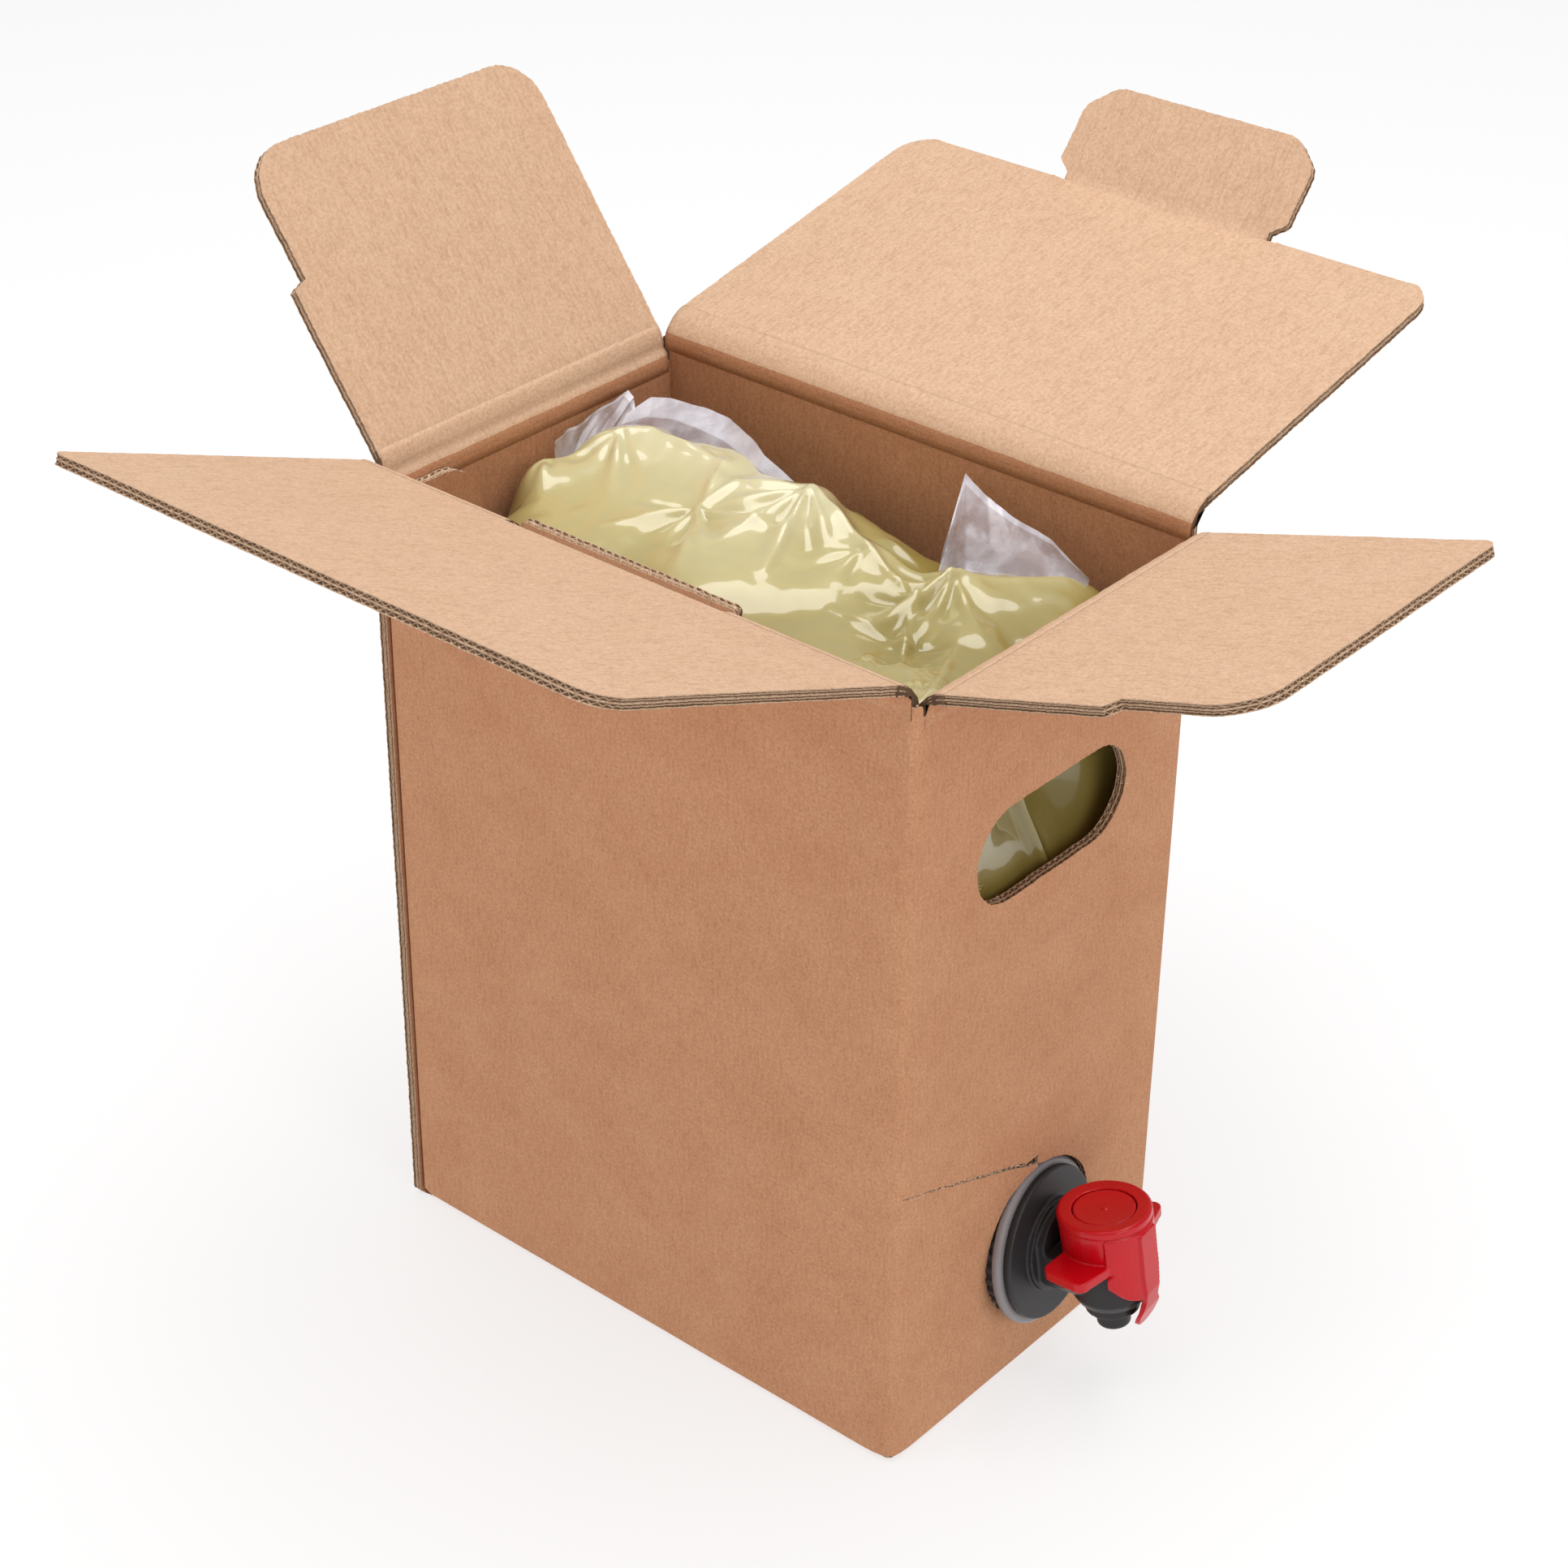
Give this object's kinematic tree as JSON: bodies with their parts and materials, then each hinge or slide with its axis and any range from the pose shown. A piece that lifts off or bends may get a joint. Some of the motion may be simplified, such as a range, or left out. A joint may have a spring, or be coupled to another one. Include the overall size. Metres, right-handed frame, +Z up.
{
  "type": "bag in box carton",
  "caption": "Open corrugated board carton with four top flaps, a filled film bag inside and a red and black press tap on one short wall.",
  "frame": {"origin": "centre of the carton's underside", "axes": "+X points out of the wall with the tap, +Y out of the wall that carries the cover, +Z up"},
  "size_m": [0.3368, 0.3676, 0.3243],
  "materials": {
    "kraft_board_outside": "matt kraft outer liner",
    "kraft_board_inside": "matt, lighter inner liner",
    "black_plastic": "satin moulded plastic",
    "red_plastic": "semi-gloss moulded plastic",
    "white_plastic": "plain moulded plastic",
    "black_rubber": "matt rubber",
    "grey_plastic": "satin moulded plastic",
    "dark_plastic": "satin moulded plastic",
    "film_bag": "glossy film over pale olive liquid"
  },
  "bodies": {
    "carton": {"carton_body": "kraft_board_outside", "filled_bag": "film_bag", "bag_gland": "grey_plastic", "gland_ring": "dark_plastic", "tap_body": "black_plastic", "tap_grip": "red_plastic"},
    "lock": {"lock_flap": "kraft_board_inside"},
    "cover": {"cover_flap": "kraft_board_inside"},
    "rear_side": {"rear_side_flap": "kraft_board_inside"},
    "tap_side": {"tap_side_flap": "kraft_board_inside"},
    "button": {"push_button": "red_plastic", "valve_stem": "white_plastic", "valve_seal": "black_rubber"}
  },
  "joints": [
    {"name": "lock_flap_hinge", "type": "hinge", "parent": "carton", "child": "lock", "pos_m": [0, -0.06075, 0.25], "axis": [-1, 0, 0], "range_deg": [-105, 158.8]},
    {"name": "cover_hinge", "type": "hinge", "parent": "carton", "child": "cover", "pos_m": [0, 0.06075, 0.2533], "axis": [1, 0, 0], "range_deg": [-95.5, 155.3]},
    {"name": "rear_side_hinge", "type": "hinge", "parent": "carton", "child": "rear_side", "pos_m": [-0.09525, 0, 0.2467], "axis": [0, 1, 0], "range_deg": [-137, 126.6]},
    {"name": "tap_side_hinge", "type": "hinge", "parent": "carton", "child": "tap_side", "pos_m": [0.09525, 0, 0.2467], "axis": [0, -1, 0], "range_deg": [-101, 162.6]},
    {"name": "push_button_slide", "type": "slide", "parent": "carton", "child": "button", "axis": [0.1524, 0.0139, -0.9882], "range_m": [0, 0.002], "stiffness_N_per_m": 4000}
  ]
}
